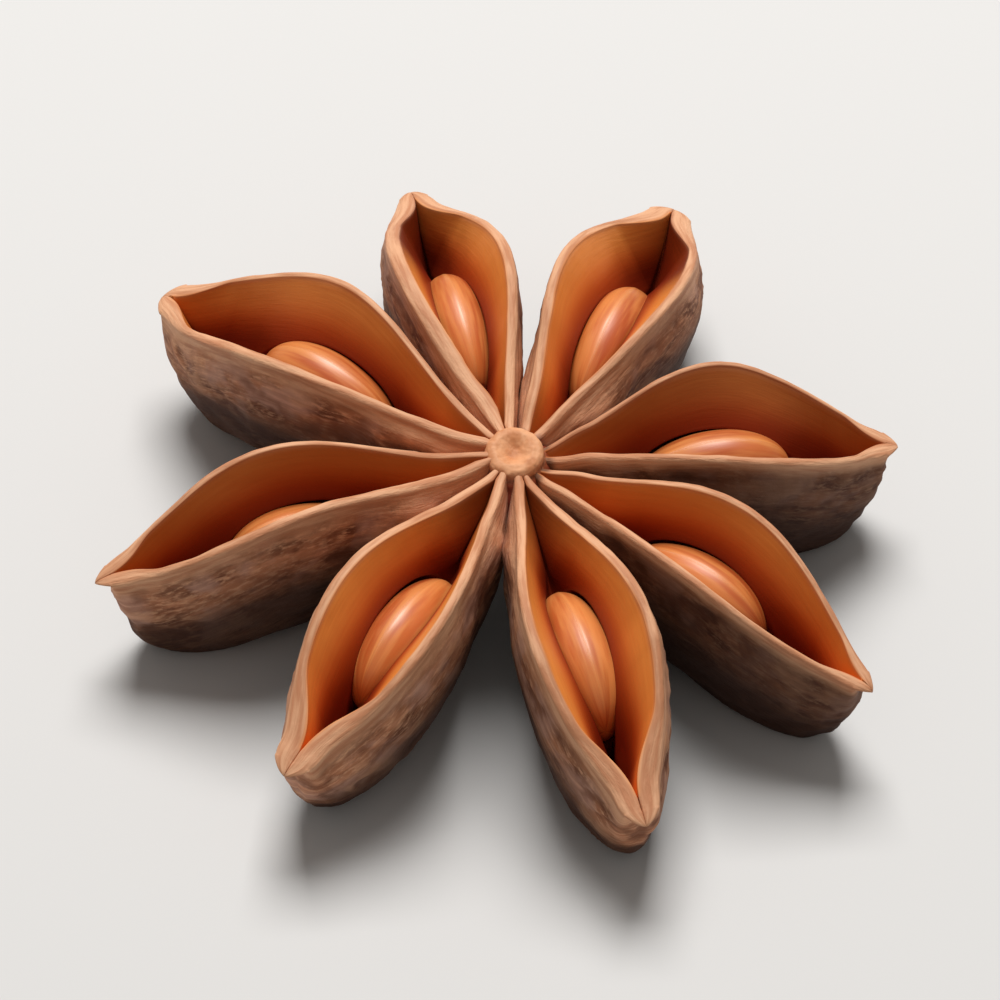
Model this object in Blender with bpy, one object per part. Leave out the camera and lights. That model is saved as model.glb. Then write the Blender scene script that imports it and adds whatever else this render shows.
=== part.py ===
"""Star anise pod: a dried woody star of eight open husks grown together round a short column.

Every husk is a boat with a keel below and two walls that part along the top, where its seed shows.
The eight boats and the column are one solid. Each seed is a solid of its own, lying in its boat.
Frame: +Z up, the open side up. The origin is on the table, under the middle of the pod's outline.
"""

import math
from typing import NamedTuple

import bmesh
import bpy

MM = 0.001

# Where the column's axis stands, so that the pod's outline is centred on the origin
COLUMN_X = 0.54 * MM
COLUMN_Y = 0.2 * MM

# The column that the boats grow from
BUTTON_TOP = 7.1 * MM
BUTTON_RADIUS = 1.1 * MM
BUTTON_DIMPLE = 0.25 * MM
COLUMN_RADIUS = 1.8 * MM
STALK_RADIUS = 1.1 * MM
STALK_FOOT = 1.5 * MM  # height of the broken end of the stalk above the table
COLUMN_SIDES = 20

# Every boat, before its own sizes in the list below
ROOT_RADIUS = 0.8 * MM  # where a boat starts, inside the column
ROOT_HALF_WIDTH = 0.35 * MM
ROOT_RIM_HEIGHT = 6.9 * MM
ROOT_KEEL_HEIGHT = 2.9 * MM
BELLY_AT = 0.58  # share of the length where the keel is lowest
STERN_AT = 0.965  # share of the length where the keel has swept up to the beak
BEAK_DEPTH = 0.7 * MM
BEAK_HALF_WIDTH = 0.3 * MM
BELLY_BULGE = 0.25
LIP = 0.4 * MM  # wall thickness at the rim
WALL = 0.35 * MM  # least wall thickness beside the seed
GROOVE = 0.6  # depth of the groove between the rims, as a share of the boat's depth
SLIT = 0.04 * MM  # half the width and the depth of the groove where it runs out

# Every seed
SEED_LENGTH = 6.4 * MM
SEED_THICKNESS = 3.0 * MM
SEED_HEIGHT = 4.6 * MM
SEED_AT = 0.485  # share of the boat's length under the middle of the seed
SEED_BELOW_RIM = 1.85 * MM
SEED_TAPER = 0.08  # how much slimmer the end towards the column is than the middle
SEED_GAP = 0.3 * MM
SEED_END_GAP = 0.75 * MM

# How finely the surfaces are cut
STATIONS = 20
STATION_CROWDING = 1.35  # over 1 sets the cross-sections closer together towards the tip
WALL_STEPS = 6
HOLLOW_STEPS = 5
SEED_SIDES = 12
SEED_RINGS = 7
SHARP_ANGLE = math.radians(50)


class Boat(NamedTuple):
    """One husk: its heading seen from above, its size, and how it differs from its neighbours."""

    heading: float  # degrees anticlockwise from +X
    reach: float  # from the column's axis to the tip
    tip_height: float
    crown: float  # how far the rims arch above a straight line from root to tip
    gape: float  # distance between the rims where they are furthest apart
    keel_clearance: float  # height of the keel; a keel under 0 is worn flat on the table
    sweep: float  # how far the middle bows to the left of a straight line
    seed_scale: float


BOATS = (
    Boat(9, 15.3 * MM, 4.6 * MM, 2.2 * MM, 4.4 * MM, -0.30 * MM, 0.0 * MM, 1.00),
    Boat(66, 16.1 * MM, 4.8 * MM, 2.4 * MM, 4.0 * MM, 0.25 * MM, -0.5 * MM, 0.98),
    Boat(105, 16.2 * MM, 4.8 * MM, 2.3 * MM, 3.6 * MM, -0.30 * MM, 0.0 * MM, 0.96),
    Boat(145, 17.2 * MM, 5.0 * MM, 2.5 * MM, 4.1 * MM, 0.35 * MM, 0.2 * MM, 1.00),
    Boat(196, 16.8 * MM, 4.8 * MM, 2.3 * MM, 3.2 * MM, -0.30 * MM, 0.0 * MM, 0.95),
    Boat(238, 16.3 * MM, 4.8 * MM, 2.3 * MM, 3.6 * MM, 0.15 * MM, 0.3 * MM, 1.00),
    Boat(287, 16.8 * MM, 4.7 * MM, 2.4 * MM, 3.7 * MM, -0.30 * MM, 0.0 * MM, 1.02),
    Boat(324, 16.8 * MM, 4.8 * MM, 2.3 * MM, 3.4 * MM, -0.25 * MM, 0.2 * MM, 0.98),
)


def swell(share):
    """Opening of a boat at a share of its length: none at the column, 1 at the belly, none at the tip."""
    return math.sin(math.pi * share**1.22) ** 1.25 if 0 < share < 1 else 0.0


def rim_height(boat, share):
    """Height of both rims: a straight fall from column to tip with an arch on it."""
    straight = ROOT_RIM_HEIGHT + (boat.tip_height - ROOT_RIM_HEIGHT) * share
    arch = math.sin(math.pi * share**1.08) ** 1.75 if 0 < share < 1 else 0.0
    return straight + boat.crown * arch


def keel_height(boat, share):
    """Height of the keel: down to the belly in an easy curve, then along and steeply up to the beak."""
    if share <= BELLY_AT:
        fall = (1 - share / BELLY_AT) ** 1.5
        return boat.keel_clearance + (ROOT_KEEL_HEIGHT - boat.keel_clearance) * fall
    belly_depth = rim_height(boat, BELLY_AT) - boat.keel_clearance
    along = min((share - BELLY_AT) / (STERN_AT - BELLY_AT), 1.0)
    body = (belly_depth - BEAK_DEPTH) * (1 - along**2.6) ** 0.62
    beak = BEAK_DEPTH * (1 - 0.6 * (share - BELLY_AT) / (1 - BELLY_AT))
    return rim_height(boat, share) - body - beak


def sweep(boat, share):
    """Sideways offset of the boat's middle line."""
    return boat.sweep * math.sin(math.pi * share)


def along_boat(boat, share):
    """Distance from the column's axis at a share of the boat's length."""
    return ROOT_RADIUS + share * (boat.reach - ROOT_RADIUS)


def seed_centre(boat):
    """The middle of a boat's seed, in the boat's own frame: X along it, Y to its left, Z up."""
    height = rim_height(boat, SEED_AT) - SEED_BELOW_RIM - SEED_HEIGHT * boat.seed_scale / 2
    return along_boat(boat, SEED_AT), sweep(boat, SEED_AT), height


def seed_room(boat, share):
    """Half the height and half the width of the room round the seed at a share of the length, or None."""
    half_length = SEED_LENGTH * boat.seed_scale / 2 + SEED_END_GAP
    along = (along_boat(boat, share) - seed_centre(boat)[0]) / half_length
    if abs(along) >= 1:
        return None
    bulge = math.sqrt(1 - along**2)
    half_height = (SEED_HEIGHT * boat.seed_scale / 2 + SEED_GAP) * bulge
    half_width = (SEED_THICKNESS * boat.seed_scale / 2 + SEED_GAP) * bulge
    return half_height, half_width


def groove_depth(boat, share):
    """Depth of the groove between the rims, which runs out at both ends of the boat."""
    depth = rim_height(boat, share) - keel_height(boat, share)
    return max(GROOVE * depth * math.sqrt(swell(share)), SLIT)


def hollow_depth(boat, share):
    """Depth of the hollow below the rims: the groove, or the pocket round the seed where that is deeper."""
    room = seed_room(boat, share)
    if room is None:
        return groove_depth(boat, share)
    return max(groove_depth(boat, share), rim_height(boat, share) - seed_centre(boat)[2] + room[0])


def hollow_half_width(boat, share, drop):
    """Half the width of the hollow at a drop below the rims: a groove, widened to clear the seed."""
    closing = 1 - min(drop / groove_depth(boat, share), 1.0) ** 1.3
    groove = max(boat.gape / 2 * swell(share), SLIT) * closing
    room = seed_room(boat, share)
    if room is None:
        return groove
    off_middle = (rim_height(boat, share) - drop - seed_centre(boat)[2]) / room[0]
    if abs(off_middle) >= 1:
        return groove
    return max(groove, room[1] * math.sqrt(1 - off_middle**2))


def outer_half_width(boat, share, drop):
    """Half the width of the boat at a drop below the rims: a shade fuller under the rim, then in to the keel."""
    depth = rim_height(boat, share) - keel_height(boat, share)
    closing = math.sqrt(max(1 - (drop / depth) ** 2, 0.0))
    opened = swell(share)
    at_ends = ROOT_HALF_WIDTH * (1 - share) + BEAK_HALF_WIDTH * share
    at_rim = at_ends + boat.gape / 2 * opened + LIP * opened**0.3
    half_width = at_rim * (closing**1.1 + BELLY_BULGE * closing * drop / depth)
    if drop < hollow_depth(boat, share):
        return max(half_width, hollow_half_width(boat, share, drop) + WALL)
    return half_width


def drops(depth, steps):
    """Pairs of side and drop round a U of this depth: from +1 at the rim down to the bottom and up to -1."""
    pairs = []
    for step in range(-steps, steps + 1):
        side = 1 if step < 0 else -1
        pairs.append((side, depth * math.sin(math.pi / 2 * (1 - abs(step) / steps))))
    return pairs


def section(boat, share):
    """The ring of points round one cross-section: down the left wall, up the right, and back by the hollow."""
    rim = rim_height(boat, share)
    ring = []
    for side, drop in drops(rim - keel_height(boat, share), WALL_STEPS):
        ring.append((side * outer_half_width(boat, share, drop), rim - drop))
    for side, drop in drops(hollow_depth(boat, share), HOLLOW_STEPS):
        ring.append((-side * hollow_half_width(boat, share, drop), rim - drop))
    x = along_boat(boat, share)
    return [(x, across + sweep(boat, share), max(height, 0.0)) for across, height in ring]


def finished(bm, name):
    """The mesh of this shape, with every face turned outwards."""
    bmesh.ops.recalc_face_normals(bm, faces=bm.faces)
    if bm.calc_volume(signed=True) < 0:
        bmesh.ops.reverse_faces(bm, faces=bm.faces)
    mesh = bpy.data.meshes.new(name)
    bm.to_mesh(mesh)
    bm.free()
    return mesh


def new_object(name, mesh, finish):
    """A linked object of this mesh and finish, standing on the column's axis, with its sharp edges kept."""
    obj = bpy.data.objects.new(name, mesh)
    bpy.context.scene.collection.objects.link(obj)
    obj.location = (COLUMN_X, COLUMN_Y, 0)
    mesh.materials.append(finish)
    mesh.shade_smooth()
    mesh.set_sharp_from_angle(angle=SHARP_ANGLE)
    return obj


def plain_finish(name, color, roughness):
    """A Principled surface of one colour."""
    made = bpy.data.materials.new(name)
    made.use_nodes = True
    shader = made.node_tree.nodes["Principled BSDF"]
    shader.inputs["Base Color"].default_value = (*color, 1.0)
    shader.inputs["Roughness"].default_value = roughness
    shader.inputs["Metallic"].default_value = 0.0
    return made


def boat_mesh(boat, name):
    """A closed boat: its sections bridged one to the next, with a face on each end."""
    bm = bmesh.new()
    rings = []
    for i in range(STATIONS):
        share = 1 - (1 - i / (STATIONS - 1)) ** STATION_CROWDING
        rings.append([bm.verts.new(point) for point in section(boat, share)])
    for near, far in zip(rings, rings[1:]):
        for i in range(len(near)):
            j = (i + 1) % len(near)
            bm.faces.new((near[i], near[j], far[j], far[i]))
    bm.faces.new(rings[0][::-1])
    bm.faces.new(rings[-1])
    return finished(bm, name)


def column_mesh(name):
    """The column, turned from its half outline: a stalk, a drum, and a dimpled button on top."""
    outline = (
        (0, STALK_FOOT),
        (STALK_RADIUS, STALK_FOOT),
        (1.15 * STALK_RADIUS, ROOT_KEEL_HEIGHT - 0.6 * MM),
        (COLUMN_RADIUS, ROOT_KEEL_HEIGHT + 0.4 * MM),
        (COLUMN_RADIUS, ROOT_RIM_HEIGHT - 0.9 * MM),
        (1.15 * BUTTON_RADIUS, ROOT_RIM_HEIGHT - 0.25 * MM),
        (BUTTON_RADIUS, BUTTON_TOP - 0.15 * MM),
        (0.8 * BUTTON_RADIUS, BUTTON_TOP),
        (0.4 * BUTTON_RADIUS, BUTTON_TOP - 0.6 * BUTTON_DIMPLE),
        (0, BUTTON_TOP - BUTTON_DIMPLE),
    )
    bm = bmesh.new()
    verts = [bm.verts.new((radius, 0, height)) for radius, height in outline]
    edges = [bm.edges.new(pair) for pair in zip(verts, verts[1:])]
    turn = {"axis": (0, 0, 1), "cent": (0, 0, 0), "angle": 2 * math.pi, "steps": COLUMN_SIDES}
    bmesh.ops.spin(bm, geom=verts + edges, **turn)
    bmesh.ops.remove_doubles(bm, verts=bm.verts, dist=0.01 * MM)
    return finished(bm, name)


def husk(finish):
    """The column with the eight boats joined to it, as one solid."""
    star = new_object("husk", column_mesh("husk"), finish)
    for number, boat in enumerate(BOATS, start=1):
        name = f"boat_{number}"
        arm = new_object(name, boat_mesh(boat, name), finish)
        arm.rotation_euler.z = math.radians(boat.heading)
        arm.hide_render = True
        arm.display_type = "WIRE"
        join = star.modifiers.new(name, "BOOLEAN")
        join.operation = "UNION"
        join.object = arm


def seed(boat, number, finish):
    """A flattened bean on its edge, its long axis along the boat, slimmer at the end by the column."""
    name = f"seed_{number}"
    bm = bmesh.new()
    bmesh.ops.create_uvsphere(bm, u_segments=SEED_SIDES, v_segments=SEED_RINGS, radius=1.0)
    centre = seed_centre(boat)
    half = [size * boat.seed_scale / 2 for size in (SEED_LENGTH, SEED_THICKNESS, SEED_HEIGHT)]
    for vert in bm.verts:
        y, z, x = vert.co  # the ball's poles become the two ends of the seed
        fuller = 1 + SEED_TAPER * x
        vert.co.x = centre[0] + half[0] * x
        vert.co.y = centre[1] + half[1] * y * fuller
        vert.co.z = centre[2] + half[2] * z * fuller
    bean = new_object(name, finished(bm, name), finish)
    bean.rotation_euler.z = math.radians(boat.heading)


def main():
    """Clears the scene, then builds the husk and the seeds."""
    for obj in list(bpy.data.objects):
        bpy.data.objects.remove(obj)
    husk(plain_finish("husk_skin", (0.19, 0.08, 0.04), 0.75))
    seed_skin = plain_finish("seed_skin", (0.45, 0.15, 0.04), 0.25)
    for number, boat in enumerate(BOATS, start=1):
        seed(boat, number, seed_skin)


main()
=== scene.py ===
"""Looks of a dried star anise pod: a woody star of eight open husks round a short column, with eight glossy seeds.

Sizes are in millimetres until a mesh is written, where they become metres. Every husk is a boat: it has a keel
below and two walls that part along the top. Its share runs from 0 at the column to 1 at the tip, and its drop
is the depth below its rims.
"""

from __future__ import annotations

import itertools
import logging
import math
from dataclasses import dataclass, field
from enum import Enum

import bmesh
import bpy
import numpy as np
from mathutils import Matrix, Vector


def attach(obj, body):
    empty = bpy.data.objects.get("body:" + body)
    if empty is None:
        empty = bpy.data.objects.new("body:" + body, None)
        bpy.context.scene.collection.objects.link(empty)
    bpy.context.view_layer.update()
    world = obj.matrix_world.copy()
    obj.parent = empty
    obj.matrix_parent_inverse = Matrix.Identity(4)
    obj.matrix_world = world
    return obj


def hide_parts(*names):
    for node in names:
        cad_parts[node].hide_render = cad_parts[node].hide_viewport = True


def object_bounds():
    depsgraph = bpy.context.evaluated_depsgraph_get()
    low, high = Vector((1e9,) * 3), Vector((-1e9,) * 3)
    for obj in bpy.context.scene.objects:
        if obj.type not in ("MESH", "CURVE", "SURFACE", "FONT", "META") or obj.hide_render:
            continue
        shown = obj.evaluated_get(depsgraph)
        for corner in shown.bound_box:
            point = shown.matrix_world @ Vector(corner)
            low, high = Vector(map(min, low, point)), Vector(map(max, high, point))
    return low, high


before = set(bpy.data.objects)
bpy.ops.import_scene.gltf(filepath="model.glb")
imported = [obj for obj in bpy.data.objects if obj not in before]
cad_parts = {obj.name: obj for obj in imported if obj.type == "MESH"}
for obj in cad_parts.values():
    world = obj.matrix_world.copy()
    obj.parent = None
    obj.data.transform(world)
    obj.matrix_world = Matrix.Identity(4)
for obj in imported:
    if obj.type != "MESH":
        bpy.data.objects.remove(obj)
CAD_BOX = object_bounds()

MM = 0.001
LOG = logging.getLogger("pod")

# The column's axis in the frame, and the heights that the husks and the column share
COLUMN = np.array([0.54, 0.2])
BUTTON_TOP = 7.1
ROOT_RADIUS = 0.8
ROOT_RIM = 6.9
ROOT_KEEL = 2.9


def smoothstep(low: float, high: float, value: np.ndarray) -> np.ndarray:
    """An eased ramp from 0 at low to 1 at high.

    Args:
        low: where the ramp starts.
        high: where it ends.
        value: the values to ease.

    Returns:
        The eased values, from 0 to 1.
    """
    share = np.clip((value - low) / (high - low), 0.0, 1.0)
    return share * share * (3 - 2 * share)


def lattice_noise(points: np.ndarray, seed: int) -> np.ndarray:
    """Smooth noise from -1 to 1 over space.

    Every corner of a unit lattice has a fixed value, made from its three whole numbers. A point takes the eased
    blend of the eight corners round it.

    Args:
        points: places, in lattice units, as an array whose last axis is X, Y, Z.
        seed: picks another field of values.

    Returns:
        The noise, without the last axis.
    """
    cell = np.floor(points).astype(np.int64)
    share = points - cell
    eased = share**3 * (share * (share * 6 - 15) + 10)
    total = np.zeros(points.shape[:-1])
    for corner in itertools.product((0, 1), repeat=3):
        at = cell + np.array(corner)
        mixed = (at[..., 0] * 73856093) ^ (at[..., 1] * 19349663) ^ (at[..., 2] * 83492791) ^ (seed * 40503)
        mixed = ((mixed ^ (mixed >> 13)) & 0xFFFFFFFF) * 1274126177
        value = ((mixed ^ (mixed >> 15)) & 0xFFFF) / 32767.5 - 1
        total += value * np.where(np.array(corner) == 1, eased, 1 - eased).prod(axis=-1)
    return total


def fractal(points: np.ndarray, octaves: int, seed: int) -> np.ndarray:
    """Sum of lattice noises, each twice as fine and half as strong as the one before.

    Args:
        points: places, in units of the coarsest noise.
        octaves: how many noises are added.
        seed: picks another field of values.

    Returns:
        The sum, from about -1 to 1.
    """
    layers = (lattice_noise(points * 2**i, seed + i) / 2**i for i in range(octaves))
    return sum(layers) / 1.6


def linear(red: int, green: int, blue: int) -> tuple[float, float, float, float]:
    """A shader colour from red, green and blue of 0 to 255 as seen on a screen."""
    seen = (channel / 255 for channel in (red, green, blue))
    light = [c / 12.92 if c <= 0.04045 else ((c + 0.055) / 1.055) ** 2.4 for c in seen]
    return (light[0], light[1], light[2], 1.0)


# ---------------------------------------------------------------- meshes


def grid_faces(rows: int, columns: int) -> tuple[np.ndarray, np.ndarray]:
    """Faces of a tube of rows of points, closed round each row and by a fan on a pole at each end.

    Args:
        rows: how many rings of points.
        columns: how many points in a ring. The two poles follow the last ring.

    Returns:
        The corner numbers of the four-sided faces, and those of the three-sided ones.
    """
    row, column = np.meshgrid(np.arange(rows - 1), np.arange(columns), indexing="ij")
    after = (column + 1) % columns
    quads = np.stack(
        [row * columns + column, row * columns + after, (row + 1) * columns + after, (row + 1) * columns + column],
        axis=-1,
    ).reshape(-1, 4)
    near = np.arange(columns)
    turned = (near + 1) % columns
    first_pole = np.full(columns, rows * columns)
    last = (rows - 1) * columns
    fans = np.concatenate(
        [
            np.stack([first_pole, turned, near], axis=-1),
            np.stack([first_pole + 1, last + near, last + turned], axis=-1),
        ]
    )
    return quads, fans


def tube_object(name: str, points: np.ndarray, attributes: dict[str, np.ndarray]) -> bpy.types.Object:
    """A linked, smooth-shaded, closed mesh object from rings of points, with its faces turned outwards.

    Args:
        name: the piece's name.
        points: the rings as an array of rows by columns by 3, in mm. The middle of the first ring and of the
            last ring become poles.
        attributes: values for each point, rows by columns, or rows by columns by 3.

    Returns:
        The new object, at the origin.
    """
    rows, columns = points.shape[:2]
    quads, fans = grid_faces(rows, columns)
    verts = np.concatenate([points.reshape(-1, 3), [points[0].mean(axis=0)], [points[-1].mean(axis=0)]])
    corners = verts[quads]
    if np.einsum("ij,ij->", np.cross(corners[:, 0], corners[:, 1]), corners[:, 2]) < 0:
        quads, fans = quads[:, ::-1], fans[:, ::-1]
    mesh = bpy.data.meshes.new(name)
    mesh.vertices.add(len(verts))
    mesh.vertices.foreach_set("co", (verts * MM).ravel())
    loops = np.concatenate([quads.ravel(), fans.ravel()])
    sizes = np.concatenate([np.full(len(quads), 4), np.full(len(fans), 3)])
    mesh.loops.add(len(loops))
    mesh.loops.foreach_set("vertex_index", loops.astype(np.int32))
    mesh.polygons.add(len(sizes))
    starts = np.concatenate([[0], np.cumsum(sizes)[:-1]])
    mesh.polygons.foreach_set("loop_start", starts.astype(np.int32))
    mesh.update(calc_edges=True)
    mesh.validate()
    mesh.shade_smooth()
    for key, values in attributes.items():
        wide = values.ndim == 3
        flat = values.reshape(rows * columns, -1)
        poles = [flat[:columns].mean(axis=0), flat[-columns:].mean(axis=0)]
        made = mesh.attributes.new(key, "FLOAT_VECTOR" if wide else "FLOAT", "POINT")
        full = np.concatenate([flat, poles]).astype(np.float32)
        made.data.foreach_set("vector" if wide else "value", full.ravel())
    obj = bpy.data.objects.new(name, mesh)
    bpy.context.scene.collection.objects.link(obj)
    return obj


def normals_of(points: np.ndarray) -> np.ndarray:
    """Unit normals of a grid that is closed round its columns: the cross of its two directions, pointing outwards.

    Args:
        points: rows by columns by 3.

    Returns:
        The normals, in the same shape.
    """
    along = np.gradient(points, axis=0)
    around = np.roll(points, -1, axis=1) - np.roll(points, 1, axis=1)
    normal = np.cross(around, along)
    length = np.linalg.norm(normal, axis=-1, keepdims=True)
    normal = normal / np.maximum(length, 1e-9)
    middle = len(points) // 2
    outwards = points[middle] - points[middle].mean(axis=0)
    lowest = np.argmin(points[middle][:, 2])
    return normal if (normal[middle][lowest] * outwards[lowest]).sum() > 0 else -normal


# ---------------------------------------------------------------- shader nodes


class Shading:
    """Adds nodes to one node tree and joins them."""

    def __init__(self, tree: bpy.types.NodeTree) -> None:
        """Takes the tree to work in."""
        self.tree = tree

    def node(self, kind: str, **settings: object) -> bpy.types.Node:
        """A new node with these settings."""
        made = self.tree.nodes.new(kind)
        for key, value in settings.items():
            setattr(made, key, value)
        return made

    def feed(self, socket: bpy.types.NodeSocket, value: object) -> None:
        """Joins a socket to an input, or sets the input to a value."""
        if isinstance(value, bpy.types.NodeSocket):
            self.tree.links.new(value, socket)
        else:
            socket.default_value = value

    def math(self, operation: str, first: object, second: object = 0.0, clamp: bool = False) -> bpy.types.NodeSocket:
        """The result of one sum on two values."""
        made = self.node("ShaderNodeMath", operation=operation, use_clamp=clamp)
        self.feed(made.inputs[0], first)
        self.feed(made.inputs[1], second)
        return made.outputs[0]

    def mix(self, share: object, first: object, second: object, way: str = "MIX") -> bpy.types.NodeSocket:
        """A colour between two, from the first at share 0 to the second at 1."""
        made = self.node("ShaderNodeMix", data_type="RGBA", blend_type=way)
        self.feed(made.inputs[0], share)
        self.feed(made.inputs[6], first)
        self.feed(made.inputs[7], second)
        return made.outputs[2]

    def between(self, share: object, first: object, second: object) -> bpy.types.NodeSocket:
        """A number between two, from the first at share 0 to the second at 1."""
        made = self.node("ShaderNodeMix", data_type="FLOAT")
        self.feed(made.inputs[0], share)
        self.feed(made.inputs[2], first)
        self.feed(made.inputs[3], second)
        return made.outputs[0]

    def span(self, value: object, low: float, high: float, start: float = 0.0, end: float = 1.0) -> bpy.types.NodeSocket:
        """A value eased from start to end as the input goes from low to high."""
        made = self.node("ShaderNodeMapRange", interpolation_type="SMOOTHSTEP")
        for key, number in (("Value", value), ("From Min", low), ("From Max", high), ("To Min", start), ("To Max", end)):
            self.feed(made.inputs[key], number)
        return made.outputs["Result"]

    def noise(self, vector: object, scale: float, detail: float, roughness: float = 0.5) -> bpy.types.NodeSocket:
        """Noise from 0 to 1 on a vector."""
        made = self.node("ShaderNodeTexNoise")
        self.feed(made.inputs["Vector"], vector)
        self.feed(made.inputs["Scale"], scale)
        self.feed(made.inputs["Detail"], detail)
        self.feed(made.inputs["Roughness"], roughness)
        return made.outputs["Fac"]

    def stretched(self, vector: object, scale: tuple[float, float, float]) -> bpy.types.NodeSocket:
        """A vector with each of its parts scaled."""
        made = self.node("ShaderNodeVectorMath", operation="MULTIPLY")
        self.feed(made.inputs[0], vector)
        made.inputs[1].default_value = scale
        return made.outputs[0]

    def attribute(self, name: str) -> bpy.types.Node:
        """The node that reads a mesh attribute."""
        return self.node("ShaderNodeAttribute", attribute_type="GEOMETRY", attribute_name=name)

    def object_mm(self) -> bpy.types.NodeSocket:
        """Object coordinates in mm."""
        place = self.node("ShaderNodeTexCoord")
        sized = self.node("ShaderNodeMapping")
        sized.inputs["Scale"].default_value = (1000.0, 1000.0, 1000.0)
        self.feed(sized.inputs["Vector"], place.outputs["Object"])
        return sized.outputs["Vector"]


class Effect:
    """A shader node group that several materials place, each with its own values."""

    def __init__(self, name: str, inputs: dict[str, str], outputs: dict[str, str]) -> None:
        """Makes the empty group with its named sockets.

        Args:
            name: the group's name.
            inputs: socket name to the last part of its type, such as Float, Vector or Color.
            outputs: the same for what the group puts out.
        """
        self.tree = bpy.data.node_groups.new(name, "ShaderNodeTree")
        for way, sockets in (("INPUT", inputs), ("OUTPUT", outputs)):
            for key, kind in sockets.items():
                self.tree.interface.new_socket(name=key, in_out=way, socket_type="NodeSocket" + kind)
        self.shading = Shading(self.tree)
        self.given = self.shading.node("NodeGroupInput").outputs
        self.result = self.shading.node("NodeGroupOutput").inputs

    def place(self, shading: Shading, **values: object) -> bpy.types.NodeOutputs:
        """Places the group in a material.

        Args:
            shading: the material's nodes.
            **values: what each input takes, by its name with _ for a space.

        Returns:
            The group's output sockets.
        """
        made = shading.node("ShaderNodeGroup", node_tree=self.tree)
        for key, value in values.items():
            shading.feed(made.inputs[key.replace("_", " ")], value)
        return made.outputs


class Mottle(Effect):
    """Blotches of three colours at two sizes, as on dried bark: a height and a colour."""

    def __init__(self) -> None:
        """Builds the group."""
        super().__init__(
            "mottle",
            {"Place": "Vector", "Size": "Float", "Dark": "Color", "Middle": "Color", "Pale": "Color"},
            {"Color": "Color", "Height": "Float"},
        )
        shading = self.shading
        per_size = shading.math("DIVIDE", 1.0, self.given["Size"])
        sized = shading.node("ShaderNodeVectorMath", operation="SCALE")
        shading.feed(sized.inputs[0], self.given["Place"])
        shading.feed(sized.inputs["Scale"], per_size)
        broad = shading.noise(sized.outputs[0], 1.0, 4.0, 0.6)
        fine = shading.noise(sized.outputs[0], 4.3, 5.0, 0.65)
        lower = shading.mix(shading.span(broad, 0.36, 0.56), self.given["Dark"], self.given["Middle"])
        upper = shading.mix(shading.span(fine, 0.46, 0.66, 0.0, 0.8), lower, self.given["Pale"])
        shading.feed(self.result["Color"], upper)
        both = shading.math("ADD", shading.math("MULTIPLY", broad, 0.6), shading.math("MULTIPLY", fine, 0.4))
        shading.feed(self.result["Height"], both)


class Fibres(Effect):
    """Fine streaks that follow the surface: its first direction is stretched, its second is cut fine."""

    def __init__(self) -> None:
        """Builds the group."""
        super().__init__(
            "fibres", {"Place": "Vector", "Width": "Float", "Stretch": "Float"}, {"Streaks": "Float", "Height": "Float"}
        )
        shading = self.shading
        parts = shading.node("ShaderNodeSeparateXYZ")
        shading.feed(parts.inputs[0], self.given["Place"])
        joined = shading.node("ShaderNodeCombineXYZ")
        across = shading.math("DIVIDE", 1.0, self.given["Width"])
        along = shading.math("DIVIDE", across, self.given["Stretch"])
        shading.feed(joined.inputs[0], shading.math("MULTIPLY", parts.outputs[0], along))
        shading.feed(joined.inputs[1], shading.math("MULTIPLY", parts.outputs[1], across))
        shading.feed(joined.inputs[2], parts.outputs[2])
        coarse = shading.noise(joined.outputs[0], 0.6, 3.0, 0.55)
        fine = shading.noise(joined.outputs[0], 2.3, 2.0, 0.5)
        shading.feed(self.result["Streaks"], shading.span(coarse, 0.35, 0.65))
        both = shading.math("ADD", shading.math("MULTIPLY", coarse, 0.7), shading.math("MULTIPLY", fine, 0.3))
        shading.feed(self.result["Height"], both)


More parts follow.
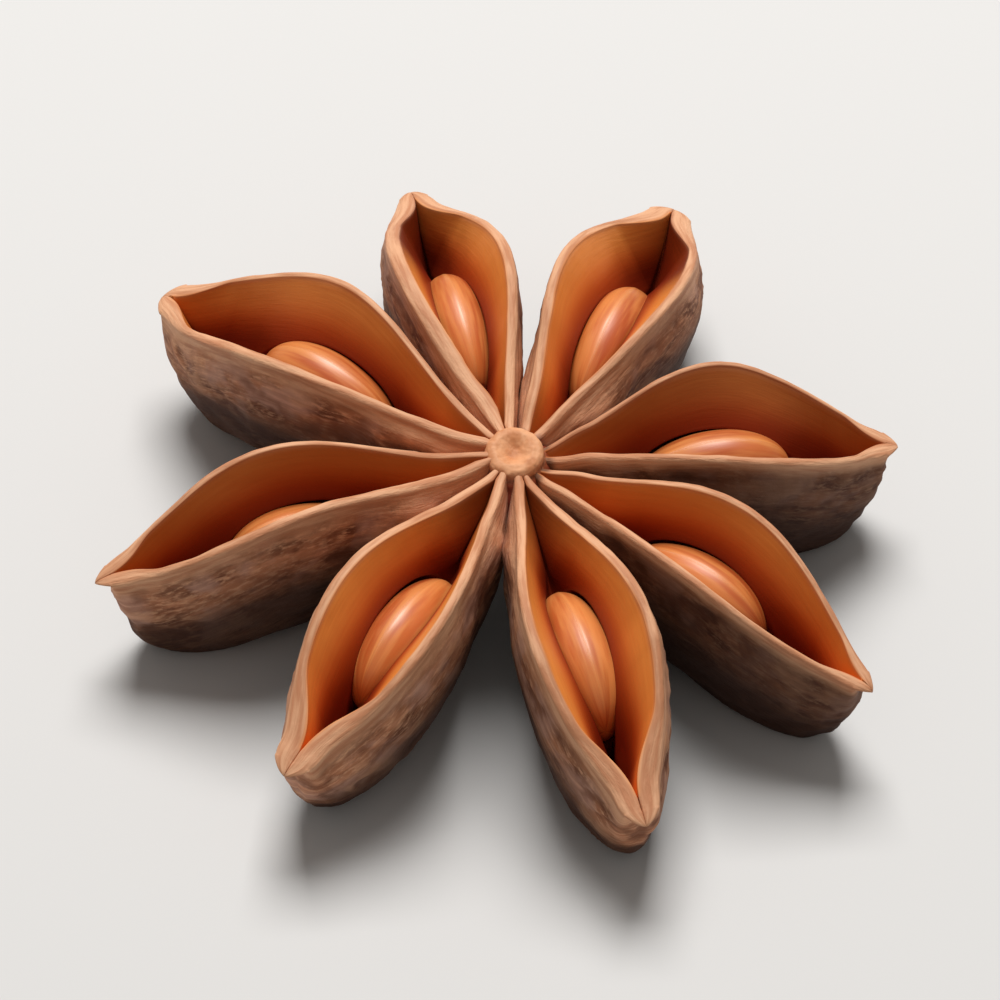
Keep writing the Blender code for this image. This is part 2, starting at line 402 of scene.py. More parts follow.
@dataclass(frozen=True)
class HuskFinish:
    """The finish of the husks and the column: grey-brown wrinkled skin, a satin orange lining and a pale rim, with
    painted shade lower down and in the hollows.
    """

    skin_dark: tuple = linear(118, 69, 46)
    skin_middle: tuple = linear(197, 131, 94)
    skin_pale: tuple = linear(232, 174, 134)
    skin_bloom: tuple = linear(208, 160, 138)
    # The skin's colour lower down the walls and over shaded husks: painted shade.
    keel: tuple = linear(50, 27, 18)
    lining_high: tuple = linear(244, 150, 68)
    lining_low: tuple = linear(198, 84, 28)
    # Lining colour deep in the hollows and near the column: painted shade; near some tips also the lining's own darker
    # tone.
    lining_deep: tuple = linear(118, 32, 6)
    rim: tuple = linear(228, 172, 132)
    rim_shade: tuple = linear(198, 134, 96)
    skin_roughness: float = 0.78
    lining_roughness: float = 0.46
    rim_roughness: float = 0.6
    relief: float = 0.00012

    def material(self, name: str, mottle: Mottle, fibres: Fibres) -> bpy.types.Material:
        """The material, which reads the masks lining, rim, drop and fold and the vector grain of a mesh."""
        made = bpy.data.materials.new(name)
        made.use_nodes = True
        shading = Shading(made.node_tree)
        shader = made.node_tree.nodes["Principled BSDF"]
        lining = shading.attribute("lining").outputs["Fac"]
        rim = shading.attribute("rim").outputs["Fac"]
        drop = shading.attribute("drop").outputs["Fac"]
        fold = shading.attribute("fold").outputs["Fac"]
        grain = shading.attribute("grain").outputs["Vector"]
        place = shading.object_mm()

        bark = mottle.place(
            shading,
            Place=shading.stretched(grain, (0.42, 1.0, 1.0)),
            Size=0.8,
            Dark=self.skin_dark,
            Middle=self.skin_middle,
            Pale=self.skin_pale,
        )
        coarse_fibres = fibres.place(shading, Place=grain, Width=0.16, Stretch=9.0)
        bloom = shading.span(shading.noise(place, 0.55, 3.0), 0.46, 0.66, 0.0, 0.75)
        skin = shading.mix(bloom, bark["Color"], self.skin_bloom)
        skin = shading.mix(shading.math("MULTIPLY", coarse_fibres["Streaks"], 0.35), skin, self.skin_dark)
        # Darker in the bottoms of the folds: painted shade. Paler on their crests, where the bark is dusty.
        skin = shading.mix(shading.span(fold, -0.55, 0.1, 0.75, 0.0), skin, self.skin_dark)
        skin = shading.mix(shading.span(fold, 0.2, 0.8, 0.0, 0.45), skin, self.skin_pale)
        # Darker down the walls towards the keel: painted shade.
        skin = shading.mix(shading.span(drop, 1.4, 4.2, 0.0, 0.88), skin, self.keel)
        # Darker over whole husks and in the groove by the column: painted shade.
        skin = shading.mix(shading.attribute("bark_painted_shade").outputs["Fac"], skin, self.keel)

        fine_fibres = fibres.place(shading, Place=grain, Width=0.1, Stretch=14.0)
        # Lighter by the rim and darker deeper in the hollow: painted shade.
        satin = shading.mix(shading.span(drop, 0.4, 2.1), self.lining_high, self.lining_low)
        satin = shading.mix(shading.math("MULTIPLY", fine_fibres["Streaks"], 0.1), satin, self.lining_low)
        satin = shading.mix(shading.span(drop, 1.15, 2.7), satin, self.lining_deep)
        # Darker near the column and over some whole husks: painted shade; near some tips, the lining's own darker tone.
        satin = shading.mix(shading.attribute("lining_tone_and_painted_shade").outputs["Fac"], satin, self.lining_deep)

        edge = shading.mix(coarse_fibres["Streaks"], self.rim, self.rim_shade)
        body = shading.mix(lining, skin, satin)
        shading.feed(shader.inputs["Base Color"], shading.mix(rim, body, edge))
        rough = shading.between(lining, self.skin_roughness, self.lining_roughness)
        shading.feed(shader.inputs["Roughness"], shading.between(rim, rough, self.rim_roughness))
        skin_height = shading.math("ADD", bark["Height"], shading.math("MULTIPLY", coarse_fibres["Height"], 0.7))
        lining_height = shading.math("ADD", shading.math("MULTIPLY", fine_fibres["Height"], 0.15), 0.78)
        height = shading.between(lining, skin_height, lining_height)
        bump = shading.node("ShaderNodeBump")
        bump.inputs["Strength"].default_value = 0.8
        bump.inputs["Distance"].default_value = self.relief
        shading.feed(bump.inputs["Height"], height)
        shading.feed(shader.inputs["Normal"], bump.outputs["Normal"])
        shader.inputs["Specular IOR Level"].default_value = 0.22
        return made


@dataclass(frozen=True)
class SeedFinish:
    """The finish of the seeds: a hard caramel coat with lengthwise streaks, under a clear gloss."""

    light: tuple = linear(236, 156, 84)
    middle: tuple = linear(214, 118, 54)
    dark: tuple = linear(184, 84, 34)
    scar: tuple = linear(226, 180, 140)
    roughness: float = 0.38
    gloss: float = 0.6
    gloss_roughness: float = 0.4

    def material(self, name: str, fibres: Fibres) -> bpy.types.Material:
        """The material, which reads the masks scar and seam and the vector grain of a mesh."""
        made = bpy.data.materials.new(name)
        made.use_nodes = True
        shading = Shading(made.node_tree)
        shader = made.node_tree.nodes["Principled BSDF"]
        grain = shading.attribute("grain").outputs["Vector"]
        streaks = fibres.place(shading, Place=grain, Width=0.28, Stretch=7.0)
        soft = shading.span(shading.noise(shading.stretched(grain, (0.3, 1.0, 1.0)), 0.5, 2.0), 0.35, 0.65)
        coat = shading.mix(soft, self.dark, self.middle)
        coat = shading.mix(shading.math("MULTIPLY", streaks["Streaks"], 0.6), coat, self.light)
        coat = shading.mix(shading.attribute("seam").outputs["Fac"], coat, self.light)
        coat = shading.mix(shading.attribute("scar").outputs["Fac"], coat, self.scar)
        shading.feed(shader.inputs["Base Color"], coat)
        shader.inputs["Roughness"].default_value = self.roughness
        shader.inputs["Coat Weight"].default_value = self.gloss
        shader.inputs["Coat Roughness"].default_value = self.gloss_roughness
        bump = shading.node("ShaderNodeBump")
        bump.inputs["Strength"].default_value = 0.35
        bump.inputs["Distance"].default_value = 0.00004
        shading.feed(bump.inputs["Height"], streaks["Height"])
        shading.feed(shader.inputs["Normal"], bump.outputs["Normal"])
        return made


# ---------------------------------------------------------------- the pod


class Side(Enum):
    """The two walls of a husk, as seen from the column towards its tip."""

    LEFT = 1
    RIGHT = -1


@dataclass(frozen=True)
class Seed:
    """One seed: a flattened bean on its edge, slimmer at the end by the column, with a scar at that end."""

    number: int
    heading: float
    centre: tuple[float, float, float]
    scale: float
    length: float = 6.4
    thickness: float = 3.0
    height: float = 4.6
    taper: float = 0.08
    rings: int = 90
    sides: int = 96

    def half_sizes(self) -> tuple[float, float, float]:
        """Half the length, thickness and height."""
        return tuple(size * self.scale / 2 for size in (self.length, self.thickness, self.height))

    def build(self) -> bpy.types.Object:
        """The bean's surface.

        A ball's rings run from end to end along the seed. Each point is the ball's point times the half sizes,
        with the cross-section fuller towards the tip by taper times the point's place along the seed. A fine
        seam stands up along the top, and a shallow dent marks the scar.
        """
        half = np.array(self.half_sizes())
        turn = (np.arange(self.rings) + 0.5)[:, None] / self.rings * math.pi
        around = np.arange(self.sides)[None, :] / self.sides * 2 * math.pi
        x = -np.cos(turn) + 0 * around
        fuller = 1 + self.taper * x
        y = np.sin(turn) * np.sin(around) * fuller
        z = np.sin(turn) * np.cos(around) * fuller
        ball = np.stack([x, y, z], axis=-1)
        seam = np.exp(-((np.abs(np.sin(around / 2)) * 2 / 0.1) ** 2)) * smoothstep(0.2, 0.8, np.sin(turn))
        scar = smoothstep(0.93, 0.975, -x)
        lumps = fractal(ball * 1.1 + self.number * 5.3, 3, 11)
        size = 1 + 0.012 * lumps + 0.008 * seam - 0.02 * scar
        local = ball * half * size[..., None]
        points = turned(local, self.heading) + np.array(self.centre)
        arc = around * self.thickness * 0.62 + 0 * turn
        grain = np.stack([local[..., 0], arc, np.full_like(arc, self.number * 3.7)], axis=-1)
        return tube_object(f"glossy_seed_{self.number}", points, {"grain": grain, "seam": seam * 0.5, "scar": scar})


def turned(points: np.ndarray, heading: float) -> np.ndarray:
    """Points of a husk's own frame turned to its heading, in degrees anticlockwise from +X."""
    angle = math.radians(heading)
    x = points[..., 0] * math.cos(angle) - points[..., 1] * math.sin(angle)
    y = points[..., 0] * math.sin(angle) + points[..., 1] * math.cos(angle)
    return np.stack([x, y, points[..., 2]], axis=-1)


@dataclass(frozen=True)
class Husk:
    """One boat-shaped husk, with its own heading, size and unevenness."""

    number: int
    heading: float
    reach: float
    tip_height: float
    crown: float
    gape: float
    keel_clearance: float
    sweep: float
    seed_scale: float
    blunt: float = 0.0
    # The next three darken the colour as painted shade: the whole bark, the whole lining, and the lining near the
    # column. The fourth is the lining's own darker tone near the tip on each wall.
    bark_painted_shade: float = 0.0
    lining_tone_and_painted_shade: float = 0.0
    root_painted_shade: float = 0.0
    tip_shade: tuple[float, float] = (0.0, 0.0)
    rise_at: float = 0.62
    rise: tuple[float, float] = (0.0, 0.0)
    lip_scale: tuple[float, float] = (1.0, 1.0)
    hook: float = 0.0
    root_dip: float = 0.0
    room: tuple[float, float] = (22.0, 22.0)
    belly_at: float = 0.58
    stern_at: float = 0.965
    beak_from: float = 0.92
    solid_from: float = 0.92
    narrows_over: float = 0.17
    beak_depth: float = 0.7
    beak_half_width: float = 0.3
    root_half_width: float = 0.35
    lip: float = 0.4
    lip_round: float = 0.2
    groove: float = 0.78
    seed_at: float = 0.485
    seed_below_rim: float = 1.85
    crease_angle: float = 36.0
    crease_gap: float = 0.02
    stations: int = 230
    wall_steps: int = 44
    lip_steps: int = 14
    cheek_steps: int = 24
    pocket_steps: int = 16

    def swell(self, share: np.ndarray) -> np.ndarray:
        """Opening along the boat: a sine hump set towards the tip, raised to a power that makes the ends slender."""
        power = 1.25 - self.blunt * smoothstep(0.45, 0.9, share)
        return np.sin(np.pi * np.clip(share, 0, 1) ** 1.22).clip(0, 1) ** power

    def rim(self, share: np.ndarray) -> np.ndarray:
        """Height of the rims: a straight fall from column to tip, plus a sine arch, less a dip at the column."""
        arch = np.sin(np.pi * np.clip(share, 0, 1) ** 1.08).clip(0, 1) ** 1.75
        straight = ROOT_RIM + (self.tip_height - ROOT_RIM) * share
        dip = self.root_dip * (1 - smoothstep(1.15, 2.9, self.along(share)))
        return straight + self.crown * arch - dip

    def keel(self, share: np.ndarray) -> np.ndarray:
        """Height of the keel: an easy fall from the column to the belly, then a steep rise to the beak."""
        low, root = self.keel_clearance, ROOT_KEEL
        fall = low + (root - low) * (1 - np.clip(share / self.belly_at, 0, 1)) ** 1.5
        belly_depth = self.rim(np.array(self.belly_at)) - low
        after = np.clip((share - self.belly_at) / (self.stern_at - self.belly_at), 0, 1)
        body = (belly_depth - self.beak_depth) * (1 - after**2.6) ** 0.62
        beak = self.beak_depth * (1 - 0.6 * (share - self.belly_at) / (1 - self.belly_at))
        return np.where(share <= self.belly_at, fall, self.rim(share) - body - beak)

    def along(self, share: np.ndarray) -> np.ndarray:
        """Distance from the column's axis at a share of the length."""
        return ROOT_RADIUS + share * (self.reach - ROOT_RADIUS)

    def seed(self) -> Seed:
        """The seed that lies in this husk, its middle under the rims at seed_at."""
        share = np.array(self.seed_at)
        height = float(self.rim(share)) - self.seed_below_rim - Seed.height * self.seed_scale / 2
        local = np.array([float(self.along(share)), self.sweep * math.sin(math.pi * self.seed_at), height])
        centre = turned(local, self.heading) + np.array([*COLUMN, 0.0])
        return Seed(self.number, self.heading, tuple(centre), self.seed_scale)

    def seed_place(self, share: np.ndarray) -> np.ndarray:
        """Place along the seed: -1 at its end by the column, 0 at its middle and 1 at its other end."""
        half_length = Seed.length * self.seed_scale / 2
        return (self.along(share) - float(self.along(np.array(self.seed_at)))) / half_length

    def seed_bulge(self, share: np.ndarray) -> np.ndarray:
        """Size of the seed's cross-section as a share of its greatest: the height of an ellipse."""
        return np.sqrt((1 - self.seed_place(share) ** 2).clip(0, 1))

    def half_section(self, share: np.ndarray, side: Side) -> dict[str, np.ndarray]:
        """Half of every cross-section, from the keel up the outer wall, over the lip, down the cheek to the floor.

        Outer wall: the width follows a fuller-than-round arch of the drop, drawn in under the rim so that the
        lip is thin. Lip: half an ellipse over the wall's thickness. Cheek: a bulged line from the lip down to
        the crease beside the seed. Pocket: an ellipse a little wider than the seed, or a steep-walled groove
        where there is no seed.

        Args:
            share: places along the boat, as a column.
            side: which wall.

        Returns:
            Width, height, the masks lining, rim and drop, and the lining's and the bark's darkening (painted shade, and
            near some tips the lining's own tone), each rows by points.
        """
        rim, keel = self.rim(share), self.keel(share)
        depth = rim - keel
        opened = self.swell(share)
        which = 0 if side is Side.LEFT else 1
        spot = np.stack([share * 3.4 + self.number * 7.7, share * 0 + side.value * 3, share * 0], -1)
        wander = fractal(spot, 2, 5)
        ragged = fractal(spot * [4.5, 1.0, 1.0], 2, 6) * smoothstep(0.03, 0.15, share)
        at_ends = self.root_half_width * (1 - share) + self.beak_half_width * share
        full = at_ends + self.gape / 2 * opened + self.lip * opened**0.3
        sector = self.along(share) * math.tan(math.radians(self.room[which])) - 0.02
        full = -np.logaddexp(-full * 5, -sector * 5) / 5
        by_share = 1 - 0.3 * smoothstep(0.75, 0.97, share)
        lip = self.lip * self.lip_scale[which] * by_share * (1 + 0.15 * wander + 0.12 * ragged)
        drawn_in = (full - lip - self.gape / 2 * opened).clip(0, None) * 0.55 * smoothstep(0.02, 0.3, opened)
        outer = full - drawn_in
        narrowing = smoothstep(self.solid_from - self.narrows_over, self.solid_from + 0.03, share)
        inner = (outer - lip) * (1 - 0.97 * narrowing)
        inner = inner.clip(0.02, None)
        outer = np.maximum(outer, inner + 0.1)

        step = np.linspace(0, 1, self.wall_steps, endpoint=False)[None, :]
        edge = np.minimum(self.lip_round, depth * 0.4)
        wall_drop = edge + (depth - edge) * np.cos(step * np.pi / 2)
        closing = np.sqrt((1 - (wall_drop / depth) ** 2).clip(0, 1))
        wall_width = full * (closing**1.1 + 0.25 * closing * wall_drop / depth)
        shoulder = outer * (1 + 0.25 * edge / depth)
        at_lip = full * (1 + 0.25 * edge / depth)
        wall_width = wall_width - (at_lip - shoulder) * np.exp(-(((wall_drop - edge) / 0.9) ** 1.5))
        web = 1 - smoothstep(3.2, 6.5, self.along(share))
        to_neighbour = (sector * closing**0.6 - wall_width).clip(0, None)
        wall_width = wall_width + to_neighbour * web * smoothstep(edge, edge + 0.9, wall_drop)
        wall_width = wall_width.clip(0, None)

        turn = np.linspace(0, np.pi, self.lip_steps, endpoint=False)[None, :]
        lip_width = (shoulder + inner) / 2 + (shoulder - inner) / 2 * np.cos(turn)
        inner_edge = 0.4 * edge
        lip_drop = np.where(turn < np.pi / 2, edge, inner_edge) * (1 - np.sin(turn) ** 0.8)

        bulge = self.seed_bulge(share)
        held = smoothstep(0.05, 0.6, bulge)
        nest = (1 - (self.seed_place(share) / 1.25) ** 2).clip(0, None) ** 1.15
        seed_height = Seed.height * self.seed_scale / 2 * bulge
        seed_width = Seed.thickness * self.seed_scale / 2 * bulge
        centre_drop = rim - self.seed().centre[2]
        groove = np.maximum(self.groove * depth * np.sqrt(opened), 0.04)
        angle = math.radians(self.crease_angle)
        full_width = Seed.thickness * self.seed_scale / 2 * math.sin(angle) + self.crease_gap
        full_drop = centre_drop - Seed.height * self.seed_scale / 2 * math.cos(angle) - 0.06
        crease_width = inner * 0.07 + (full_width - inner * 0.07).clip(0, None) * nest
        crease_width = np.minimum(crease_width, inner * 0.9)
        open_drop = np.minimum(0.85 * groove, 3.4)
        crease_drop = np.maximum(open_drop + (full_drop - open_drop) * nest, edge + 0.02)

        down = np.linspace(0, 1, self.cheek_steps, endpoint=False)[None, :]
        cheek_drop = inner_edge + (crease_drop - inner_edge) * down
        cheek_width = inner + (crease_width - inner) * down

        under = np.linspace(0, 1, self.pocket_steps)[None, :]
        round_seed = angle + (np.pi - angle) * under
        pocket_drop = centre_drop - (seed_height + self.crease_gap) * np.cos(round_seed)
        pocket_drop = pocket_drop + (crease_drop - pocket_drop) * (1 - under) ** 6
        pocket_width = (seed_width + self.crease_gap) * np.sin(round_seed)
        pocket_width = np.maximum(pocket_width, crease_width * smoothstep(0.0, 0.35, 1 - under))
        floor_drop = crease_drop + (groove - crease_drop).clip(0.05, None) * np.sin(under * np.pi / 2)
        floor_width = crease_width * np.cos(under * np.pi / 2)
        deep_drop = held * pocket_drop + (1 - held) * floor_drop
        deep_drop = np.maximum(deep_drop, crease_drop + 0.01 * under)
        deep_width = held * pocket_width + (1 - held) * floor_width
        deep_drop = np.minimum(deep_drop, depth - 0.35)

        shut = smoothstep(self.solid_from, self.solid_from + 0.03, share)
        cheek_drop = cheek_drop + (edge * (0.4 + 0.5 * down) - cheek_drop) * shut
        deep_drop = deep_drop + (edge * (0.9 + 0.2 * under) - deep_drop) * shut

        width = np.concatenate([wall_width, lip_width, cheek_width, deep_width], axis=1)
        drop = np.concatenate([wall_drop, lip_drop, cheek_drop, deep_drop], axis=1)
        rows = len(share)
        lining = np.concatenate(
            [
                np.zeros((rows, self.wall_steps)),
                np.broadcast_to(smoothstep(1.8, 2.4, turn), (rows, self.lip_steps)),
                np.ones((rows, self.cheek_steps + self.pocket_steps)),
            ],
            axis=1,
        )
        lining = lining * (1 - shut)
        beyond = np.zeros((rows, self.pocket_steps)) + 9 * (1 - 0.97 * shut)
        # Painted shade: on darker husks the pale rim reaches less far down the outer wall.
        reach_down = 1.15 - 0.85 * self.bark_painted_shade
        across_lip = 0.42 * smoothstep(1.9, 3.14, turn)
        below_lip = [
            (wall_drop - edge) / reach_down,
            across_lip + 0 * lip_drop,
            0.42 + (cheek_drop - inner_edge) * 2.6,
            beyond,
        ]
        below_lip[0] = below_lip[0] * (1 - 0.4 * shut)
        below_lip[1] = below_lip[1] * (1 - 0.97 * shut)
        below_lip[2] = below_lip[2] * (1 - 0.97 * shut)
        from_lip = np.concatenate(below_lip, axis=1)
        near_rim = np.exp(-((drop / 1.6) ** 2))
        lift = self.rise[which] * np.exp(-(((share - self.rise_at) / 0.2) ** 2)) + 0.06 * wander + 0.035 * ragged
        height = rim - drop + lift * near_rim
        # Painted shade in the lining near the column, and over whole husks; near the tip, the lining's own darker tone
        # on one wall.
        painted_root_shade = np.maximum(
            self.root_painted_shade * (1 - smoothstep(0.1, 0.34, share)), 0.55 * (1 - smoothstep(0.08, 0.26, share))
        )
        at_tip = self.tip_shade[which] * smoothstep(0.5, 0.7, share)
        shade = np.maximum(self.lining_tone_and_painted_shade, np.maximum(painted_root_shade, at_tip))
        drop = drop * (1 - 0.6 * shut)
        # Painted shade in the groove round the button: the pale rim fades there and the bark darkens.
        dipped = min(max(self.root_dip, 0.0) / 0.35, 1.0)
        groove_painted_shade = dipped * (1 - smoothstep(1.3, 1.65, self.along(share)))
        return {
            "width": width * side.value,
            "height": height,
            "lining": lining,
            "rim": np.exp(-((from_lip / 0.45) ** 2)) * (1 - 0.85 * groove_painted_shade),
            "drop": drop,
            "lining_tone_and_painted_shade": shade + 0 * width,
            "bark_painted_shade": np.maximum(self.bark_painted_shade, 0.45 * groove_painted_shade) + 0 * width,
        }

    def build(self) -> bpy.types.Object:
        """The husk's surface: its cross-sections from column to tip, roughened by folds, turned to its heading.

        The skin has lengthwise folds and fine pits, made by moving each point along its normal by noise that is
        stretched along the boat. The lining moves far less.
        """
        steps = np.linspace(0, 1, self.stations)[:, None]
        share = 1 - (1 - steps) ** 1.25
        left, right = self.half_section(share, Side.LEFT), self.half_section(share, Side.RIGHT)
        whole = {key: np.concatenate([left[key], right[key][:, -2:0:-1]], axis=1) for key in left}
        x = self.along(share) + 0 * whole["width"]
        bend = self.sweep * np.sin(np.pi * share)
        hook = self.hook * smoothstep(0.9, 1.0, share) ** 1.5
        points = np.stack([x, whole["width"] + bend, whole["height"] + hook], axis=-1)

        step_length = np.linalg.norm(np.diff(points, axis=1, prepend=points[:, :1]), axis=-1)
        arc = np.cumsum(step_length, axis=1)
        top = self.wall_steps + self.lip_steps // 2
        half = whole["width"].shape[1] // 2
        arc[:, :half] -= arc[:, top : top + 1]
        arc[:, half:] = arc[:, -top : -top + 1] - arc[:, half:]
        past = ((share - self.beak_from) / (1 - self.beak_from)).clip(0, 1)
        close = np.sqrt(1 - 0.999 * past**2)[..., None]
        crest = np.stack([self.along(share), bend, self.rim(share) + hook - 0.25 * past], axis=-1)
        points = crest + (points - crest) * close

        grain = np.stack([x, arc, np.full_like(x, self.number * 4.1)], axis=-1)
        salt = self.number * 9.7
        folds = fractal(points * [0.3, 0.9, 0.7] + salt, 2, 21)
        ridges = 1 - 2 * np.abs(lattice_noise(points * [0.35, 1.5, 1.5] + salt, 31))
        pits = fractal(points * [1.6, 2.6, 2.6] + salt, 3, 41)
        skin = 0.12 * folds + 0.06 * ridges + 0.025 * pits
        lining = 0.04 * fractal(points * [0.3, 0.7, 0.7] + salt, 2, 51)
        ends = smoothstep(0.02, 0.15, share)
        calm = 1 - 0.85 * whole["rim"]
        amount = ((1 - whole["lining"]) * skin + whole["lining"] * lining) * calm * ends
        points = points + normals_of(points) * amount[..., None]
        fold = np.clip(folds * 0.9 + ridges * 0.4 + pits * 0.5, -1, 1)
        points[..., 2] = np.maximum(points[..., 2], 0.0)
        points = turned(points, self.heading) + np.array([*COLUMN, 0.0])
        masks = {key: whole[key] for key in ("lining", "rim", "drop", "lining_tone_and_painted_shade", "bark_painted_shade")}
        masks.update(grain=grain, fold=fold)
        return tube_object(f"husk_wall_{self.number}", points, masks)


@dataclass(frozen=True)
class Column:
    """The short column: a dimpled button on top, a groove round it, a drum, and the broken stalk below."""

    button_radius: float = 1.12
    dimple: float = 0.28
    lean: float = 0.12
    drum_radius: float = 1.8
    web_radius: float = 2.3
    stalk_radius: float = 1.1
    stalk_foot: float = 1.5
    sides: int = 160

    def build(self) -> bpy.types.Object:
        """The column as a turned outline whose radius and height change a little round it."""
        outline = np.array(
            [
                (0.06, BUTTON_TOP - self.dimple),
                (0.25, BUTTON_TOP - self.dimple * 0.9),
                (0.5, BUTTON_TOP - self.dimple * 0.35),
                (0.75, BUTTON_TOP),
                (1.0, BUTTON_TOP - 0.06),
                (self.button_radius, BUTTON_TOP - 0.2),
                (self.button_radius + 0.06, BUTTON_TOP - 0.6),
                (self.button_radius + 0.3, BUTTON_TOP - 0.95),
                (self.drum_radius, BUTTON_TOP - 1.3),
                (self.web_radius, BUTTON_TOP - 1.9),
                (self.web_radius, ROOT_KEEL + 1.4),
                (self.drum_radius, ROOT_KEEL + 0.4),
                (self.stalk_radius * 1.25, ROOT_KEEL - 0.4),
                (self.stalk_radius, self.stalk_foot + 0.5),
                (self.stalk_radius * 0.95, self.stalk_foot + 0.08),
                (self.stalk_radius * 0.8, self.stalk_foot),
                (0.06, self.stalk_foot + 0.12),
            ]
        )
        knots = np.arange(len(outline))
        fine = np.linspace(0, len(outline) - 1, 140)
        radius = np.interp(fine, knots, outline[:, 0])
        height = np.interp(fine, knots, outline[:, 1])
        for _ in range(6):
            radius[1:-1] = (radius[:-2] + 2 * radius[1:-1] + radius[2:]) / 4
            height[1:-1] = (height[:-2] + 2 * height[1:-1] + height[2:]) / 4
        around = np.arange(self.sides)[None, :] / self.sides * 2 * np.pi
        spread = radius[:, None] + 0 * around
        z = height[:, None] + 0 * around
        points = np.stack([spread * np.cos(around), spread * np.sin(around), z], axis=-1)
        wobble = fractal(points * 1.3 + 3.3, 3, 61)
        fine_wobble = fractal(points * 4.0 + 8.8, 3, 62)
        points = points + normals_of(points) * (0.06 * wobble + 0.03 * fine_wobble)[..., None]
        leaning = smoothstep(BUTTON_TOP - 0.9, BUTTON_TOP - 0.3, z)
        points[..., 2] += self.lean * points[..., 1] * leaning
        points = points + np.array([*COLUMN, 0.0])
        dimple = np.exp(-((spread / 0.42) ** 2)) * (z > ROOT_KEEL)
        top = smoothstep(BUTTON_TOP - 0.5, BUTTON_TOP - 0.2, z)
        # Darker lower down the column, and in the groove round the button, which takes the lining colour: painted
        # shade.
        drop = (BUTTON_TOP - z) * 3
        groove = smoothstep(0.02, 0.14, spread - self.button_radius) * (z > ROOT_KEEL + 2)
        grain = points * [3.6, 0.4, 0.4]
        masks = {
            "grain": grain,
            "fold": np.clip(wobble, -1, 1),
            "lining": np.maximum(0.8 * groove, 0.9 * top),
            "rim": top * (0.8 - 0.35 * dimple),
            "drop": drop,
            "bark_painted_shade": 0 * z,
            "lining_tone_and_painted_shade": 0.45 * dimple,
        }
        return tube_object("column_and_stalk", points, masks)


@dataclass
class Pod:
    """The whole pod: its husks, their seeds and the column, dressed and placed on the frame."""

    husk_finish: HuskFinish = field(default_factory=HuskFinish)
    seed_finish: SeedFinish = field(default_factory=SeedFinish)

    @staticmethod
    def husks() -> tuple[Husk, ...]:
        """The eight husks, anticlockwise from the one on the right."""
        return (
            Husk(
                1, 9, 15.3, 4.6, 2.2, 4.4, -0.30, 0.0, 1.00,
                root_dip=0.4, room=(28, 22), rise=(-0.3, 0.0), lip_scale=(0.6, 0.75), rise_at=0.7,
                beak_from=0.94, solid_from=0.955, narrows_over=0.1, bark_painted_shade=0.65, lining_tone_and_painted_shade=0.6,
            ),
            Husk(
                2, 66, 16.1, 4.8, 2.4, 4.0, 0.25, -0.5, 0.98,
                root_dip=0.35, room=(24, 28), blunt=0.35, beak_half_width=0.5, beak_from=0.94,
                solid_from=0.96, tip_shade=(0.0, 0.95),
            ),
            Husk(
                3, 105, 16.2, 4.8, 2.3, 3.6, -0.30, 0.0, 0.96,
                room=(20, 20), rise=(0.4, 0.0), lip_scale=(1.6, 1.0), beak_from=0.94,
                solid_from=0.95, root_painted_shade=0.4, tip_shade=(0.95, 0.0),
            ),
            Husk(
                4, 145, 17.2, 5.0, 2.5, 4.1, 0.35, 0.2, 1.00,
                root_dip=-0.1, room=(25, 20), lip_scale=(1.0, 0.75), blunt=0.38, beak_half_width=0.5, beak_from=0.94,
                solid_from=0.965, narrows_over=0.12, lining_tone_and_painted_shade=0.28,
            ),
            Husk(
                5, 196, 16.8, 4.8, 2.3, 3.2, -0.30, 0.0, 0.95,
                seed_below_rim=2.15, rise=(0.35, 0.0), rise_at=0.45, root_dip=-0.1, room=(21, 25), lip_scale=(1.0, 0.75),
                solid_from=0.94, narrows_over=0.1, lining_tone_and_painted_shade=0.45,
            ),
            Husk(
                6, 238, 16.3, 4.8, 2.3, 3.6, 0.15, 0.3, 1.00,
                root_dip=0.05, room=(24, 21), beak_half_width=0.5, beak_from=0.94, root_painted_shade=0.75,
            ),
            Husk(
                7, 287, 16.8, 4.7, 2.4, 3.7, -0.30, 0.0, 1.02,
                root_dip=0.1, room=(18, 24), beak_half_width=0.4, beak_from=0.94, bark_painted_shade=0.15, root_painted_shade=0.75,
            ),
            Husk(
                8, 324, 16.8, 4.8, 2.3, 3.4, -0.25, 0.2, 0.98,
                seed_below_rim=2.0, root_dip=0.35, room=(22, 18), lip_scale=(0.75, 0.75), beak_half_width=0.2,
                beak_from=0.95, solid_from=0.965, narrows_over=0.1, bark_painted_shade=0.7, lining_tone_and_painted_shade=0.15,
            ),
        )

    def build(self) -> None:
        """Builds each piece, gives it its finish, and sets it on the frame."""
        mottle, fibres = Mottle(), Fibres()
        woody = self.husk_finish.material("dried_husk", mottle, fibres)
        glossy = self.seed_finish.material("seed_coat", fibres)
        self.place(Column().build(), woody, "husk", "husk")
        for husk in self.husks():
            self.place(husk.build(), woody, "husk", "husk")
            self.place(husk.seed().build(), glossy, f"seed_{husk.number}", "seed")

    @staticmethod
    def place(piece: bpy.types.Object, finish: bpy.types.Material, node: str, slot: str) -> None:
        """Dresses a piece and sets it on the frame in place of a CAD node."""
        piece.data.materials.append(finish)
        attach(piece, "root")
        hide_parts(node)
        LOG.info("%s: %d faces", piece.name, len(piece.data.polygons))


# ---------------------------------------------------------------- studio


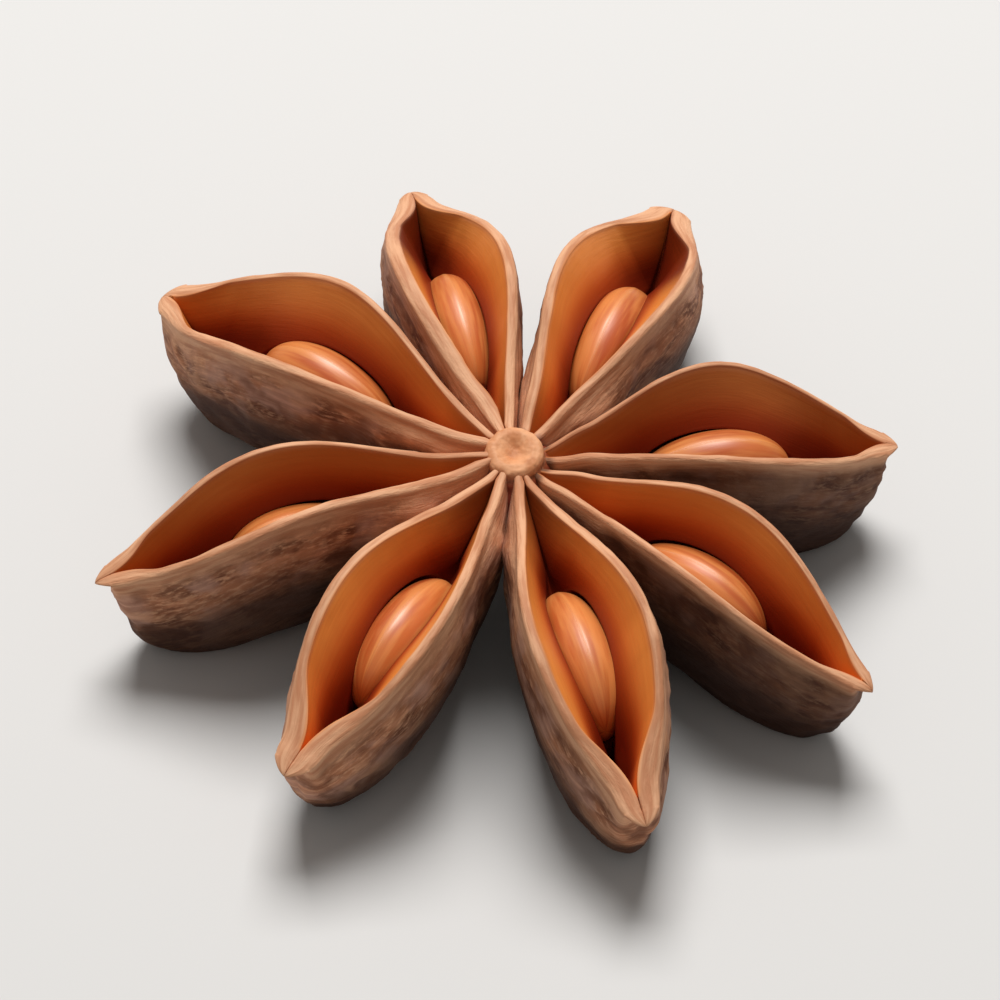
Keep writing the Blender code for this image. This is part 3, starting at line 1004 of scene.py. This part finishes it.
@dataclass(frozen=True)
class Studio:
    """A pale floor, a soft light overhead and a little behind, and the camera."""

    view_height: float = 51.0
    view_distance: float = 0.215
    lens: float = 198.0
    floor_tone: tuple = (0.72, 0.705, 0.685, 1.0)
    key_tilt: float = 26.0
    key_distance: float = 0.40
    key_size: float = 0.20
    key_power: float = 1.75
    sky_strength: float = 0.22

    def floor(self) -> None:
        """A wide plain floor just under the pod."""
        mesh = bpy.data.meshes.new("floor")
        half = 3.0
        mesh.from_pydata([(-half, -half, 0), (half, -half, 0), (half, half, 0), (-half, half, 0)], [], [(0, 1, 2, 3)])
        floor = bpy.data.objects.new("floor", mesh)
        bpy.context.scene.collection.objects.link(floor)
        made = bpy.data.materials.new("plain_floor")
        made.use_nodes = True
        shader = made.node_tree.nodes["Principled BSDF"]
        shader.inputs["Base Color"].default_value = self.floor_tone
        shader.inputs["Roughness"].default_value = 0.9
        mesh.materials.append(made)

    def light(self, name: str, tilt: float, distance: float, size: float, power: float) -> None:
        """A square soft light aimed at the pod, tilted from overhead towards the back."""
        data = bpy.data.lights.new(name, "AREA")
        data.shape = "SQUARE"
        data.size = size
        data.energy = power
        lamp = bpy.data.objects.new(name, data)
        angle = math.radians(tilt)
        lamp.location = (0.0, distance * math.sin(angle), distance * math.cos(angle))
        lamp.rotation_euler = (-lamp.location).to_track_quat("-Z", "Y").to_euler()
        bpy.context.scene.collection.objects.link(lamp)

    def sky(self) -> None:
        """An even pale surround."""
        world = bpy.data.worlds.new("surround")
        world.use_nodes = True
        back = world.node_tree.nodes["Background"]
        back.inputs["Color"].default_value = (1.0, 0.98, 0.95, 1.0)
        back.inputs["Strength"].default_value = self.sky_strength
        bpy.context.scene.world = world

    def camera(self) -> None:
        """The camera in front of the pod, looking down on it."""
        low, high = (Vector(corner) for corner in CAD_BOX)
        aim = (low + high) / 2
        angle = math.radians(self.view_height)
        away = Vector((0.0, -math.cos(angle), math.sin(angle)))
        data = bpy.data.cameras.new("camera")
        data.lens = self.lens
        data.sensor_width = 36.0
        data.clip_start = 0.01
        camera = bpy.data.objects.new("camera", data)
        camera.location = aim + away * self.view_distance
        camera.rotation_euler = (-away).to_track_quat("-Z", "Y").to_euler()
        bpy.context.scene.collection.objects.link(camera)
        bpy.context.scene.camera = camera

    def build(self) -> None:
        """Sets up the whole studio."""
        self.floor()
        self.sky()
        self.light("soft_key", self.key_tilt, self.key_distance, self.key_size, self.key_power)
        self.camera()
        bpy.context.scene.view_settings.view_transform = "Standard"


def main() -> None:
    """Builds the pod and the studio."""
    logging.basicConfig(level=logging.INFO, format="%(message)s")
    Pod().build()
    Studio().build()


if __name__ == "__main__":
    main()
